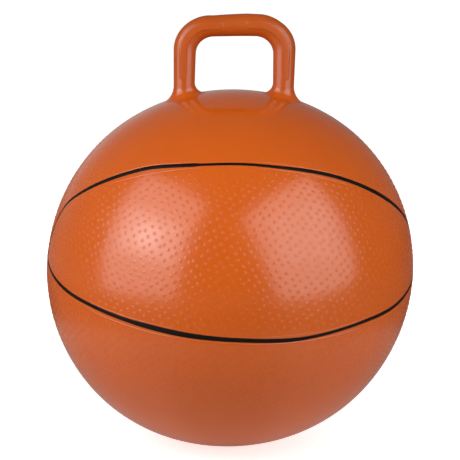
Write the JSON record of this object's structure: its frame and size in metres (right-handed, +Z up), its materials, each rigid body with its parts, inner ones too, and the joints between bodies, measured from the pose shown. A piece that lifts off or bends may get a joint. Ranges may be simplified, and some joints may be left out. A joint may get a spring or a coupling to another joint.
{
  "type": "hopper ball",
  "caption": "Blown-up bouncing ball with a loop handle that flexes on its roots, painted lines round the skin and a push-in air stopper at the back.",
  "frame": {"origin": "on the floor, under the middle of the ball", "axes": "+Z up through the middle of the handle, +X along the handle's top bar, -Y to the front where the painted lines are furthest apart"},
  "size_m": [0.4502, 0.4497, 0.5268],
  "materials": {
    "skin": "glossy soft vinyl with moulded pips",
    "line_paint": "brushed black paint",
    "valve_vinyl": "soft vinyl insert",
    "stopper": "moulded natural white plastic"
  },
  "bodies": {
    "ball": {"ball_shell": "skin", "left_handle_root": "skin", "right_handle_root": "skin", "upper_line": "line_paint", "lower_line": "line_paint", "valve_seat": "valve_vinyl"},
    "handle": {"handle_loop": "skin"},
    "stopper": {"valve_stopper": "stopper"}
  },
  "joints": [
    {"name": "handle_flex", "type": "hinge", "parent": "ball", "child": "handle", "pos_m": [0, 0, 0.44242], "axis": [1, 0, 0], "range_deg": [-12, 12], "stiffness_Nm_per_rad": 3},
    {"name": "valve_pull", "type": "slide", "parent": "ball", "child": "stopper", "axis": [0, 1, 0], "range_m": [0, 0.03]}
  ]
}
